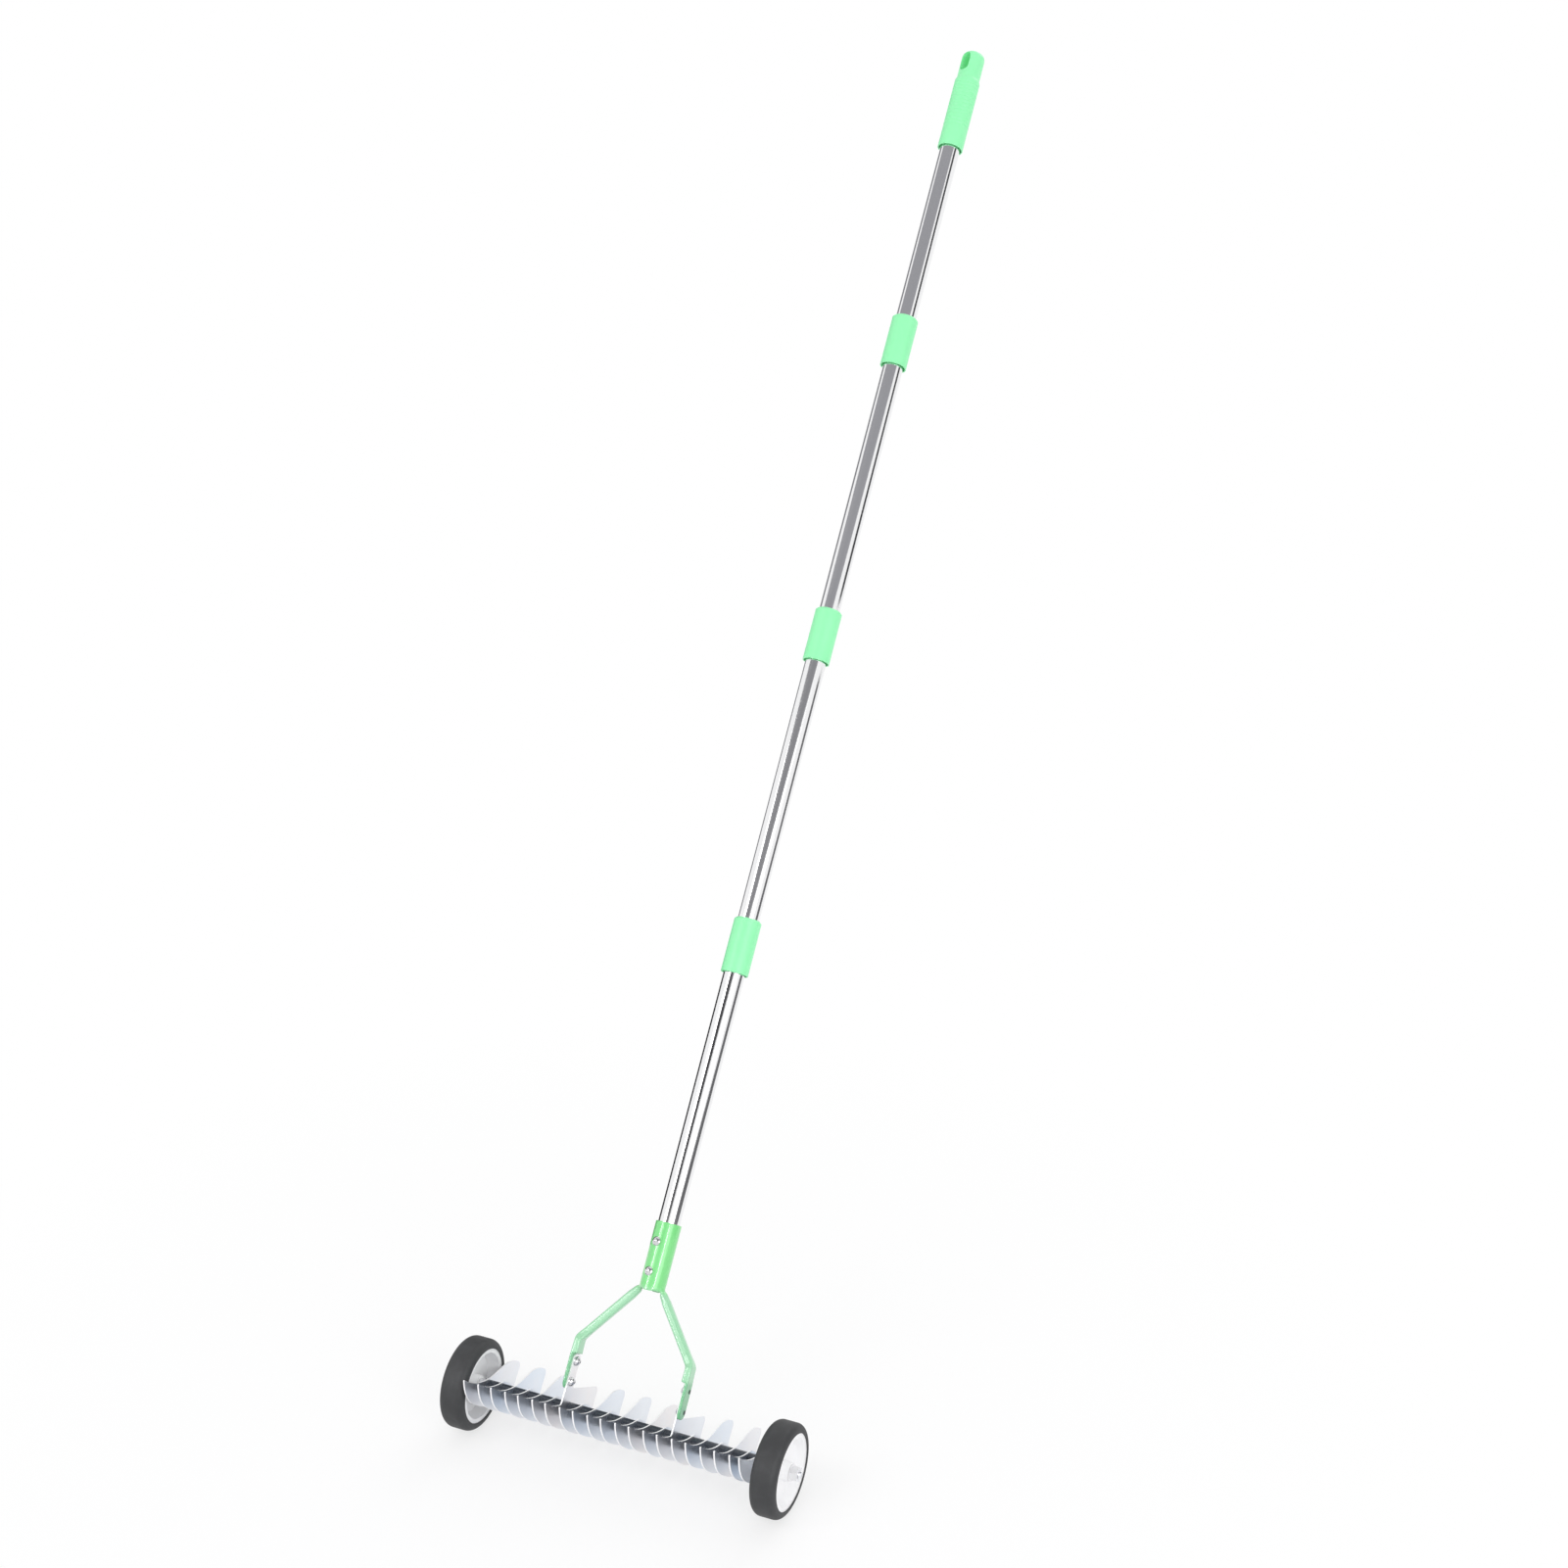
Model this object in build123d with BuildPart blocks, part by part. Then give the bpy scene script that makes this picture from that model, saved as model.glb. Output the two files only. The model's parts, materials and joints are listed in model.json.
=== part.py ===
"""Wheeled push lawn dethatcher: a comb of blades on an axle, a forked head, a four-section handle.

Millimetres.  X runs along the axle, +Z is up, and the handle leans back towards +Y.
The origin lies on the ground under the middle of the axle.  In the tool's own frame
v runs square to the handle, positive to the rear, and w runs along it from the axle.
"""

import os
from math import copysign, cos, radians, sin, tan

from build123d import *

os.makedirs("parts", exist_ok=True)

# ---------------------------------------------------------------- driving sizes
# pose
handle_lean = 38.5              # from vertical, degrees
handle_offset = -14.5           # v of the handle's axis: it passes in front of the axle

# wheels
wheel_radius = 46.0
tyre_width = 26.5
tyre_shoulder = 7.0             # corner radius of the tread
rim_radius = 37.4
rim_width = 24.5
rim_lip = 2.5
rim_channel = 2.0               # the tyre's seat lies this far inside the lips
rim_wall = 2.4
rim_draft = 3.0                 # taper of the dish, in radius
web_thickness = 3.0
web_setback = 9.0               # web's outer face, in from the rim's outer face
hub_radius = 9.0
hub_draft = 1.0                 # the hub's foot is this much wider than its ends
hub_recess = 3.7                # hub's inner end, in from the rim's inner face
running_gap = 0.06              # radial, hub on axle
end_play = 0.3                  # axial, hub to each neighbour

# axle and its fasteners
axle_radius = 4.0
axle_tip = 2.0                  # past the outer nuts
bore_gap = 0.1                  # radial, what is clamped on the axle
washer_thickness = 1.5
washer_radius = 8.0
nut_flats = 13.0
nut_height = 6.5
nut_bevel = 30.0                # turned corners of a nut, degrees
nut_face = 0.95                 # the turned face, as a share of the flats

# comb of blades
blade_count = 21
blade_pitch = 14.9
last_pitch = 10.6               # the rightmost blade stands closer than the rest
blade_thickness = 1.5
spacer_radius = 7.5
end_spacer_radius = 6.0

# blade outline, each point as (v, w)
claw_tip = (-58.5, 3.2)
claw_front = (-46.0, -9.6)
belly = (-20.0, -18.5)
cup = (-36.0, 1.6)
shoulder = (0.0, 9.4)
fin_foot = (19.0, 20.5)
fin_brow = (33.5, 28.0)
fin_back = (51.5, 29.8)
fin_nose = (57.3, 28.4)
fin_tip = (59.6, 24.4)
fin_hollow = (58.4, 9.0)
heel = (59.5, -8.0)
keel = (20.0, -17.8)
short_setback = 1.8             # the short blades' tips, behind the others'
spur_brow = (24.0, 5.5)
spur_tip = (44.0, -6.5)
spur_keel = (20.0, -16.6)
heel_radius = 4.0
tip_radius = 0.8

# bracket blades: the fourth on each side of the middle one
bracket_step = 4
strap_line = -11.0              # v of the strap's centre line, where the leg screws pass
strap_width = 14.5
strap_corner = 4.0
strap_splay = 1.5               # the strap's foot reaches this much further forward
strap_root = 3.0                # fillets where the strap meets the blade
strap_foot = 3.4                # w of the strap's front root
shelf_height = 21.0
shelf_brow = (26.0, 23.6)
bracket_fin_drop = 3.5          # the bracket blades' fins are this much lower

# fork
leg_size = 8.6                  # of the bar, both ways
leg_edge = 3.4                  # radius of the bar's edges
leg_pressed = 7.0               # across the pressed, lower part of a leg
leg_width = 16.0                # along v, of the pressed part and the tab
leg_pressed_edge = 2.6
bend_height = 70.0
bend_run = 14.0                 # from the bend up to the unpressed bar
leg_inset = 1.0                 # the legs' centre lines meet the sleeve this far inside its skin
leg_tab_thickness = 3.1
leg_tab_bottom = 19.5
leg_tab_top = 54.5
leg_tab_corner = 7.0
leg_clearance = 0.5             # strap's top to the leg's shoulder
sleeve_bottom = 133.0
sleeve_length = 66.0
sleeve_wall = 2.0

# screws
screw_radius = 2.5
screw_gap = 0.1                 # radial, in through holes
screw_head_rim = 0.25           # straight part of a head's side, as a share of its height
leg_head_radius = 4.8
leg_head_height = 4.2
sleeve_head_radius = 4.3
sleeve_head_height = 2.8
socket_flats = 3.0              # hexagon socket in the head
socket_depth = 1.6
screw_tip = 1.0                 # past the sleeve nuts
leg_screw_heights = (27.0, 47.0)
sleeve_screw_heights = (15.0, 44.5)     # above the sleeve's bottom
sleeve_screw_turn = -13.0       # about the handle, from straight ahead, degrees
sleeve_nut_flats = 8.0
sleeve_nut_height = 4.0

# handle
tube_radius = 11.0
tube_wall = 0.9
tube_gap = 0.05                 # radial, tube in sleeve, coupler and grip
tube_foot = 4.0                 # the lowest tube stands this far above the sleeve's bottom
first_joint = 481.0
section_pitch = 335.0
section_count = 4
coupler_wall = 3.1
coupler_length = 57.0
coupler_bevel = 2.0
skirt_wall = 1.2                # thin lower rim of the couplers and the grip
skirt_depth = 5.0
plug_flange = 2.0
plug_length = 24.0
plug_gap = 0.1                  # radial, plug and socket in their tubes
stub_radius = 6.5
stub_length = 16.0
stub_gap = 0.1                  # radial and at the stub's tip

# grip
grip_bottom = 1382.0
grip_length = 117.0
grip_wall = 2.8
grip_taper_height = 78.0        # the straight part ends this high above the grip's bottom
grip_waist_wall = 1.5
grip_waist_height = 85.0
grip_head_wall = 1.5
grip_head_height = 97.0
grip_crown = 8.0                # rounding of the top
grip_floor = 32.0               # solid plastic above the end of the tube
hang_width = 11.5
hang_length = 22.0
hang_margin = 4.0
hang_turn = -25.0               # about the handle, from straight ahead, degrees

# ---------------------------------------------------------------- frames and helpers
lean = radians(handle_lean)
tool = Plane(origin=(0, 0, wheel_radius), x_dir=(1, 0, 0), z_dir=(0, sin(lean), cos(lean)))
axle_line = Axis(origin=(0, 0, wheel_radius), direction=(1, 0, 0))
handle_line = Axis(
    origin=tool.from_local_coords((0, handle_offset, 0)), direction=tool.z_dir
)


def side(x):
    """Plane square to the axle; its x runs along v and its y along w."""
    return Plane(origin=tool.from_local_coords((x, 0, 0)), x_dir=tool.y_dir, z_dir=(1, 0, 0))


def level(w, x=0.0, v=handle_offset):
    """Plane square to the handle at height w; its x runs along the axle and its y along v."""
    return Plane(origin=tool.from_local_coords((x, v, w)), x_dir=(1, 0, 0), z_dir=tool.z_dir)


def facing(turn, w=0.0, out=0.0):
    """Plane that faces out from the handle, turned about it from straight ahead, its y along w."""
    angle = radians(turn)
    outward = tool.x_dir * sin(angle) - tool.y_dir * cos(angle)
    centre = tool.from_local_coords((0, handle_offset, w))
    return Plane(
        origin=centre + outward * out,
        x_dir=tool.x_dir * cos(angle) + tool.y_dir * sin(angle),
        z_dir=outward,
    )


def ring(plane, length, outer, inner):
    """A plain ring standing on the plane, added to the open part."""
    with BuildSketch(plane) as section:
        Circle(outer)
        Circle(inner, mode=Mode.SUBTRACT)
    extrude(section.sketch, amount=length)


def upright(plane):
    """The plane turned up, so that its x stays and its y runs along the old plane's normal."""
    return Plane(plane.origin, plane.x_dir, -plane.y_dir)


def nut(plane, length, flats, inner):
    """A hexagon nut standing on the plane, its outer corners turned, added to the open part."""
    with BuildSketch(plane) as section:
        RegularPolygon(flats / 2, 6, major_radius=False)
        Circle(inner, mode=Mode.SUBTRACT)
    extrude(section.sketch, amount=length)
    face = nut_face * flats / 2
    beyond = flats - face
    drop = copysign((beyond - face) * tan(radians(nut_bevel)), length)
    with BuildSketch(upright(plane)) as waste:
        with BuildLine():
            Polyline((face, length), (beyond, length), (beyond, length - drop), close=True)
        make_face()
    revolve(waste.sketch, axis=Axis(plane.origin, plane.z_dir), mode=Mode.SUBTRACT)


def corner(sketch, point):
    """The sketch's corner nearest to the point."""
    return sketch.vertices().sort_by_distance((*point, 0))[:1]


def save(builder, name):
    builder.part.label = name
    export_step(builder.part, f"parts/{name}.step")


# ---------------------------------------------------------------- blades
axle_bore = axle_radius + bore_gap
screw_bore = screw_radius + screw_gap
middle = (blade_count - 1) // 2
blade_places = [(i - middle) * blade_pitch for i in range(blade_count)]
blade_places[-1] = blade_places[-2] + last_pitch
bracket_place = bracket_step * blade_pitch
strap_front = strap_line - strap_width / 2
strap_rear = strap_line + strap_width / 2
bracket_foot = (strap_front - strap_splay, strap_foot)
bracket_shelf = (strap_rear, shelf_height)
strap_top = leg_tab_top - leg_clearance


def draw_claw(setback=0.0):
    tip = (claw_tip[0] + setback, claw_tip[1])
    ThreePointArc(belly, (claw_front[0] + setback, claw_front[1]), tip)
    return tip


def draw_fin(start, brow, drop=0.0):
    """The rear fin, from the blade's back over the top, down the rear edge and along the keel."""
    back, nose, tip = ((v, w - drop) for v, w in (fin_back, fin_nose, fin_tip))
    ThreePointArc(start, brow, back)
    ThreePointArc(back, nose, tip)
    ThreePointArc(tip, fin_hollow, heel)
    ThreePointArc(heel, keel, belly)


def draw_finned():
    tip = draw_claw()
    ThreePointArc(tip, cup, shoulder)
    Line(shoulder, fin_foot)
    draw_fin(fin_foot, fin_brow)


def draw_short():
    tip = draw_claw(short_setback)
    ThreePointArc(tip, cup, shoulder)
    ThreePointArc(shoulder, spur_brow, spur_tip)
    ThreePointArc(spur_tip, spur_keel, belly)


def draw_bracket():
    tip = draw_claw()
    ThreePointArc(tip, cup, bracket_foot)
    Polyline(bracket_foot, (strap_front, strap_top), (strap_rear, strap_top), bracket_shelf)
    draw_fin(bracket_shelf, shelf_brow, bracket_fin_drop)


for i, x in enumerate(blade_places):
    is_bracket = abs(i - middle) == bracket_step
    with BuildPart() as blade:
        with BuildSketch(side(x - blade_thickness / 2)) as outline:
            with BuildLine():
                if is_bracket:
                    draw_bracket()
                elif i % 2 == 0:
                    draw_finned()
                else:
                    draw_short()
            make_face()
            fillet(outline.vertices().sort_by(Axis.X)[:1], tip_radius)
            if is_bracket or i % 2 == 0:
                fillet(corner(outline, heel), heel_radius)
            if is_bracket:
                fillet(outline.vertices().sort_by(Axis.Y)[-2:], strap_corner)
                fillet(corner(outline, bracket_foot), strap_root)
                fillet(corner(outline, bracket_shelf), strap_root)
            Circle(axle_bore, mode=Mode.SUBTRACT)
            if is_bracket:
                with Locations(*[(strap_line, w) for w in leg_screw_heights]):
                    Circle(screw_bore, mode=Mode.SUBTRACT)
        extrude(amount=blade_thickness)
    if is_bracket:
        save(blade, "bracket_blade_" + ("left" if x < 0 else "right"))
    elif i % 2 == 0:
        save(blade, f"finned_blade_{i + 1:02d}")
    else:
        save(blade, f"short_blade_{i + 1:02d}")

# ---------------------------------------------------------------- axle, spacers and nuts
stack_right = blade_places[-1] + blade_thickness / 2
stack_end = blade_thickness / 2 - blade_places[0]       # both clamp washers lie this far out
hub_inner = stack_end + washer_thickness + nut_height + end_play
rim_inner = hub_inner - hub_recess
rim_outer = rim_inner + rim_width
outer_washer = rim_outer + end_play
axle_end = outer_washer + washer_thickness + nut_height + axle_tip

with BuildPart() as axle:
    with BuildSketch(side(-axle_end)):
        Circle(axle_radius)
    extrude(amount=2 * axle_end)
    chamfer(axle.edges().filter_by(GeomType.CIRCLE), axle_radius / 5)
save(axle, "axle_rod")

with BuildPart() as spacers:
    for here, after in zip(blade_places, blade_places[1:]):
        start = here + blade_thickness / 2
        ring(side(start), after - here - blade_thickness, spacer_radius, axle_bore)
save(spacers, "blade_spacers")

with BuildPart() as end_spacer:
    ring(side(stack_right), stack_end - stack_right, end_spacer_radius, axle_bore)
save(end_spacer, "end_spacer")

for name, start in (("clamp", stack_end), ("wheel", outer_washer)):
    with BuildPart() as washers:
        ring(side(start), washer_thickness, washer_radius, axle_bore)
        ring(side(-start), -washer_thickness, washer_radius, axle_bore)
    save(washers, name + "_washers")
    with BuildPart() as nuts:
        nut(side(start + washer_thickness), nut_height, nut_flats, axle_bore)
        mirror(about=Plane.YZ)
    save(nuts, name + "_nuts")

# ---------------------------------------------------------------- wheels
# Profiles are drawn for the right wheel as (x, radius) and mirrored for the left one.
channel_radius = rim_radius - rim_channel
dish_radius = channel_radius - rim_wall
web_outer = rim_outer - web_setback
web_inner = web_outer - web_thickness
hub_bore = axle_radius + running_gap
rim_middle = (rim_inner + rim_outer) / 2
tyre_inner = rim_middle - tyre_width / 2
tyre_outer = rim_middle + tyre_width / 2
wheel_profile = Plane(origin=(0, 0, wheel_radius), x_dir=(1, 0, 0), z_dir=(0, -1, 0))
tyre_seat = (
    (rim_outer - rim_lip, rim_radius),
    (rim_outer - rim_lip, channel_radius),
    (rim_inner + rim_lip, channel_radius),
    (rim_inner + rim_lip, rim_radius),
)

with BuildPart() as rim_right:
    with BuildSketch(wheel_profile):
        with BuildLine():
            Polyline(
                (hub_inner, hub_bore),
                (rim_outer, hub_bore),
                (rim_outer, hub_radius),
                (web_outer, hub_radius + hub_draft),
                (web_outer, dish_radius - rim_draft),
                (rim_outer, dish_radius),
                (rim_outer, rim_radius),
                *tyre_seat,
                (rim_inner, rim_radius),
                (rim_inner, dish_radius),
                (web_inner, dish_radius - rim_draft),
                (web_inner, hub_radius + hub_draft),
                (hub_inner, hub_radius),
                close=True,
            )
        make_face()
    revolve(axis=axle_line)

with BuildPart() as tyre_right:
    with BuildSketch(wheel_profile) as section:
        with BuildLine():
            Polyline(
                (tyre_outer, wheel_radius),
                (tyre_outer, rim_radius),
                *tyre_seat,
                (tyre_inner, rim_radius),
                (tyre_inner, wheel_radius),
                close=True,
            )
        make_face()
        fillet(section.vertices().sort_by(Axis.Y)[-2:], tyre_shoulder)
    revolve(axis=axle_line)

for name, right in (("wheel_rim", rim_right), ("tyre", tyre_right)):
    save(right, name + "_right")
    with BuildPart() as left:
        mirror(right.part, about=Plane.YZ)
    save(left, name + "_left")

# ---------------------------------------------------------------- fork
sleeve_radius = tube_radius + sleeve_wall
tube_bore = tube_radius + tube_gap
sleeve_screws_at = [sleeve_bottom + height for height in sleeve_screw_heights]
tab_inner = bracket_place + blade_thickness / 2
leg_place = tab_inner + leg_tab_thickness - leg_pressed / 2
leg_top = Vector(sleeve_radius - leg_inset, sleeve_bottom)
leg_bend = Vector(leg_place, bend_height)
incline = (leg_top - leg_bend).normalized()
leg_run = (leg_top - leg_bend).length

with BuildPart() as sleeve:
    ring(level(sleeve_bottom), sleeve_length, sleeve_radius, tube_bore)
    with BuildSketch(facing(sleeve_screw_turn)):
        with Locations(*[(0, w) for w in sleeve_screws_at]):
            Circle(screw_bore)
    extrude(amount=2 * sleeve_radius, both=True, mode=Mode.SUBTRACT)
save(sleeve, "fork_sleeve")


def across_leg(distance, turn=1.0):
    """Plane across the right leg, this far up the incline; turn 0 squares it to the handle."""
    spot = leg_bend + incline * distance
    heading = Vector(0, 1) * (1 - turn) + incline * turn
    normal = (tool.x_dir * heading.X + tool.z_dir * heading.Y).normalized()
    origin = tool.from_local_coords((spot.X, handle_offset, spot.Y))
    return Plane(origin=origin, x_dir=tool.y_dir.cross(normal), z_dir=normal)


def bar(plane, across, along, edge):
    """A leg's rounded section, its size across the leg and along v and the radius of its edges."""
    with BuildSketch(plane) as section:
        RectangleRounded(across, along, edge)
    return section.sketch


mitre = across_leg(0, 0.5)
leg_stretch = leg_pressed / tool.z_dir.dot(mitre.z_dir)     # the pressed part cut at the bend

with BuildPart() as leg_right:
    # tab pressed flat against the outside of the bracket blade's strap
    with BuildSketch(side(tab_inner)) as tab:
        with Locations((handle_offset, (leg_tab_bottom + leg_tab_top) / 2)):
            Rectangle(leg_width, leg_tab_top - leg_tab_bottom)
        fillet(tab.vertices().sort_by(Axis.Y)[:2], leg_tab_corner)
    extrude(amount=leg_tab_thickness)
    # pressed bar from the tab's shoulder to the bend, then square bar up to the sleeve
    foot = bar(level(leg_tab_top, leg_place), leg_pressed, leg_width, leg_pressed_edge)
    knee = bar(mitre, leg_stretch, leg_width, leg_pressed_edge)
    shin = bar(across_leg(bend_run), leg_size, leg_size, leg_edge)
    loft([foot, knee], ruled=True)
    loft([knee, shin], ruled=True)
    extrude(shin, amount=leg_run)
    split(bisect_by=level(sleeve_bottom), keep=Keep.BOTTOM)
    with BuildSketch(side(tab_inner)):
        with Locations(*[(strap_line, w) for w in leg_screw_heights]):
            Circle(screw_bore)
    extrude(amount=leg_tab_thickness, mode=Mode.SUBTRACT)
save(leg_right, "fork_leg_right")

with BuildPart() as leg_left:
    mirror(leg_right.part, about=Plane.YZ)
save(leg_left, "fork_leg_left")

# ---------------------------------------------------------------- screws
def dome_head(plane, radius, height, sink=0.0):
    """A button head on the plane, its rim sunk below it, added to the open part."""
    with BuildSketch(upright(plane)) as half:
        with BuildLine():
            top = (0, height)
            rim = (radius, screw_head_rim * height)
            Polyline(top, (0, -sink), (radius, -sink), rim)
            TangentArc(top, rim, tangent=(1, 0))
        make_face()
    revolve(half.sketch, axis=Axis(plane.origin, plane.z_dir))
    with BuildSketch(plane.offset(height)) as socket:
        RegularPolygon(socket_flats / 2, 6, major_radius=False)
    extrude(socket.sketch, amount=-socket_depth, mode=Mode.SUBTRACT)


strap_inner = bracket_place - blade_thickness / 2
with BuildPart() as leg_screws:
    for w in leg_screw_heights:
        seat = Plane(
            origin=tool.from_local_coords((strap_inner, strap_line, w)),
            x_dir=tool.y_dir,
            z_dir=(-1, 0, 0),
        )
        dome_head(seat, leg_head_radius, leg_head_height)
        with BuildSketch(seat) as shank:
            Circle(screw_radius)
        extrude(shank.sketch, amount=-blade_thickness - leg_tab_thickness)
    mirror(about=Plane.YZ)
save(leg_screws, "leg_screws")

head_sink = sleeve_radius - (sleeve_radius**2 - sleeve_head_radius**2) ** 0.5
with BuildPart() as sleeve_screws:
    seats = [facing(sleeve_screw_turn, w, sleeve_radius) for w in sleeve_screws_at]
    for seat in seats:
        dome_head(seat, sleeve_head_radius, sleeve_head_height, head_sink)
    # the heads' undersides are hollowed to the round of the sleeve
    with BuildSketch(level(sleeve_bottom)):
        Circle(sleeve_radius)
    extrude(amount=sleeve_length, mode=Mode.SUBTRACT)
    for seat in seats:
        with BuildSketch(seat) as shank:
            Circle(screw_radius)
        extrude(shank.sketch, amount=-2 * sleeve_radius - sleeve_nut_height - screw_tip)
save(sleeve_screws, "sleeve_screws")

with BuildPart() as sleeve_nuts:
    for w in sleeve_screws_at:
        seat = facing(sleeve_screw_turn, w, -sleeve_radius)
        nut(seat, -sleeve_nut_height, sleeve_nut_flats, screw_bore)
save(sleeve_nuts, "sleeve_nuts")

# ---------------------------------------------------------------- handle
tube_inner = tube_radius - tube_wall
coupler_radius = tube_radius + coupler_wall
plug_radius = tube_inner - plug_gap
flange_half = plug_flange / 2
joints = [first_joint + i * section_pitch for i in range(section_count - 1)]
grip_top = grip_bottom + grip_length
tube_feet = [sleeve_bottom + tube_foot] + [joint + flange_half for joint in joints]
tube_heads = [joint - flange_half for joint in joints] + [grip_top - grip_floor]


def turned(base, points):
    """A closed profile of (radius, height above base) turned about the handle's axis."""
    with BuildSketch(facing(0, base)) as profile:
        with BuildLine():
            Polyline(*points, close=True)
        make_face()
    revolve(profile.sketch, axis=handle_line)


for number, (foot, top) in enumerate(zip(tube_feet, tube_heads), start=1):
    with BuildPart() as tube:
        ring(level(foot), top - foot, tube_radius, tube_inner)
        if number == 1:
            with BuildSketch(facing(sleeve_screw_turn)):
                with Locations(*[(0, w) for w in sleeve_screws_at]):
                    Circle(screw_bore)
            extrude(amount=2 * tube_radius, both=True, mode=Mode.SUBTRACT)
    save(tube, f"tube_{number}")

for number, joint in enumerate(joints, start=1):
    with BuildPart() as coupler:
        turned(joint - coupler_length / 2, [
            (tube_bore, skirt_depth),
            (coupler_radius - skirt_wall, skirt_depth),
            (coupler_radius - skirt_wall, 0),
            (coupler_radius, 0),
            (coupler_radius, coupler_length - coupler_bevel),
            (coupler_radius - coupler_bevel, coupler_length),
            (tube_bore, coupler_length),
        ])
    save(coupler, f"coupler_{number}")
    # the plug sits in the upper tube and its stub enters the socket in the lower one
    with BuildPart() as plug:
        turned(joint, [
            (0, -flange_half - stub_length),
            (stub_radius, -flange_half - stub_length),
            (stub_radius, -flange_half),
            (tube_radius, -flange_half),
            (tube_radius, flange_half),
            (plug_radius, flange_half),
            (plug_radius, flange_half + plug_length),
            (0, flange_half + plug_length),
        ])
    save(plug, f"screw_plug_{number}")
    with BuildPart() as socket:
        turned(joint - flange_half, [
            (0, -plug_length),
            (plug_radius, -plug_length),
            (plug_radius, 0),
            (stub_radius + stub_gap, 0),
            (stub_radius + stub_gap, -stub_length - stub_gap),
            (0, -stub_length - stub_gap),
        ])
    save(socket, f"thread_socket_{number}")

# ---------------------------------------------------------------- grip
grip_radius = tube_radius + grip_wall
grip_waist = tube_radius + grip_waist_wall
grip_head = tube_radius + grip_head_wall
hang_height = grip_top - hang_margin - hang_length / 2

with BuildPart() as grip:
    with BuildSketch(facing(0, grip_bottom)) as profile:
        with BuildLine():
            Polyline(
                (0, grip_length),
                (0, grip_length - grip_floor),
                (tube_bore, grip_length - grip_floor),
                (tube_bore, skirt_depth),
                (grip_radius - skirt_wall, skirt_depth),
                (grip_radius - skirt_wall, 0),
                (grip_radius, 0),
                (grip_radius, grip_taper_height),
                (grip_waist, grip_waist_height),
                (grip_head, grip_head_height),
                (grip_head, grip_length),
                close=True,
            )
        make_face()
        fillet(corner(profile, (grip_head, grip_length)), grip_crown)
    revolve(axis=handle_line)
    with BuildSketch(facing(hang_turn, hang_height)):
        SlotOverall(hang_length, hang_width, rotation=90)
    extrude(amount=2 * grip_radius, both=True, mode=Mode.SUBTRACT)
save(grip, "grip")
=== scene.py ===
"""Looks of the wheeled lawn dethatcher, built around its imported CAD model."""

import json
import math

import bmesh
import bpy
import numpy as np
from bpy.props import FloatProperty, FloatVectorProperty, IntProperty, PointerProperty
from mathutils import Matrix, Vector


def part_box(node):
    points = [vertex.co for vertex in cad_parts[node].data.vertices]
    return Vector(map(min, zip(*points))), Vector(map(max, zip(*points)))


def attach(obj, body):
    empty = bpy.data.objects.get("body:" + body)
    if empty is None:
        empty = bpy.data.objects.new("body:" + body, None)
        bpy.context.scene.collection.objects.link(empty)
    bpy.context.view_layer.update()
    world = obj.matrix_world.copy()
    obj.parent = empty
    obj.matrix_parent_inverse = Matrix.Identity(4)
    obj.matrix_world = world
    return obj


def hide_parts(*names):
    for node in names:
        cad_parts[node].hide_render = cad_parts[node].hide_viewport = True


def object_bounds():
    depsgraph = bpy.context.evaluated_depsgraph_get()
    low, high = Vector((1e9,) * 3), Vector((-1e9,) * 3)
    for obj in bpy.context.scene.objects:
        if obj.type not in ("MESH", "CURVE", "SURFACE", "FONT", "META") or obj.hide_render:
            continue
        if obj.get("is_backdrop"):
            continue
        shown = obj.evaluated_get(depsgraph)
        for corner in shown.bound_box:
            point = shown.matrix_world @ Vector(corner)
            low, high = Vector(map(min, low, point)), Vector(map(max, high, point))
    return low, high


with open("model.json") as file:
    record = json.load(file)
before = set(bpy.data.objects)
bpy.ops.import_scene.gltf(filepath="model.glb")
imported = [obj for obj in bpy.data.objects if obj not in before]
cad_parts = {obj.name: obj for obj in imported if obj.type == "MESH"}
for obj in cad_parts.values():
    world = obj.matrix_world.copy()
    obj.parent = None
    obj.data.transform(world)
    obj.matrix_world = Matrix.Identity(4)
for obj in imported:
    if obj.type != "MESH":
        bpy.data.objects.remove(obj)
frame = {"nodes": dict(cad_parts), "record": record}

CAD_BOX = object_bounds()

bl_info = {
    "name": "Lawn Dethatcher",
    "version": (1, 0, 0),
    "blender": (4, 5, 0),
    "location": "View3D > Sidebar > Dethatcher",
    "description": "Finishes and small pieces of a wheeled push lawn dethatcher",
    "category": "Object",
}

MM = 0.001
NODES = frame["nodes"]
HOLD = next(mount for mount in frame["record"]["mounts"] if mount["kind"] == "pin")
HANDLE_POINT = Vector(HOLD["pos_m"])              # the middle of the grip's straight part
HANDLE_AXIS = Vector(HOLD["axis"]).normalized()
RIGHT = Vector((1, 0, 0))
REAR = HANDLE_AXIS.cross(RIGHT).normalized()      # square to the handle, to the rear and down
LEAN = math.acos(HANDLE_AXIS.z)
AXLE = sum(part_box("axle_rod"), Vector()) / 2
HANDLE_REAR = (HANDLE_POINT - AXLE).dot(REAR)     # the handle's axis passes ahead of the axle
TAB_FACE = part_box("fork_leg_right")[1].x          # how far out the fork's tabs reach


def spot(x, rear, up):
    """A place in the tool's own frame: along the axle, to the rear and along the handle."""
    return AXLE + RIGHT * x + REAR * rear + HANDLE_AXIS * up


# ---------------------------------------------------------------- colours and nodes
def linear(hex_colour):
    """An sRGB hex colour as linear RGBA."""
    channels = [int(hex_colour[i:i + 2], 16) / 255 for i in (1, 3, 5)]
    return [c / 12.92 if c <= 0.04045 else ((c + 0.055) / 1.055) ** 2.4 for c in channels] + [1]


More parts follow.
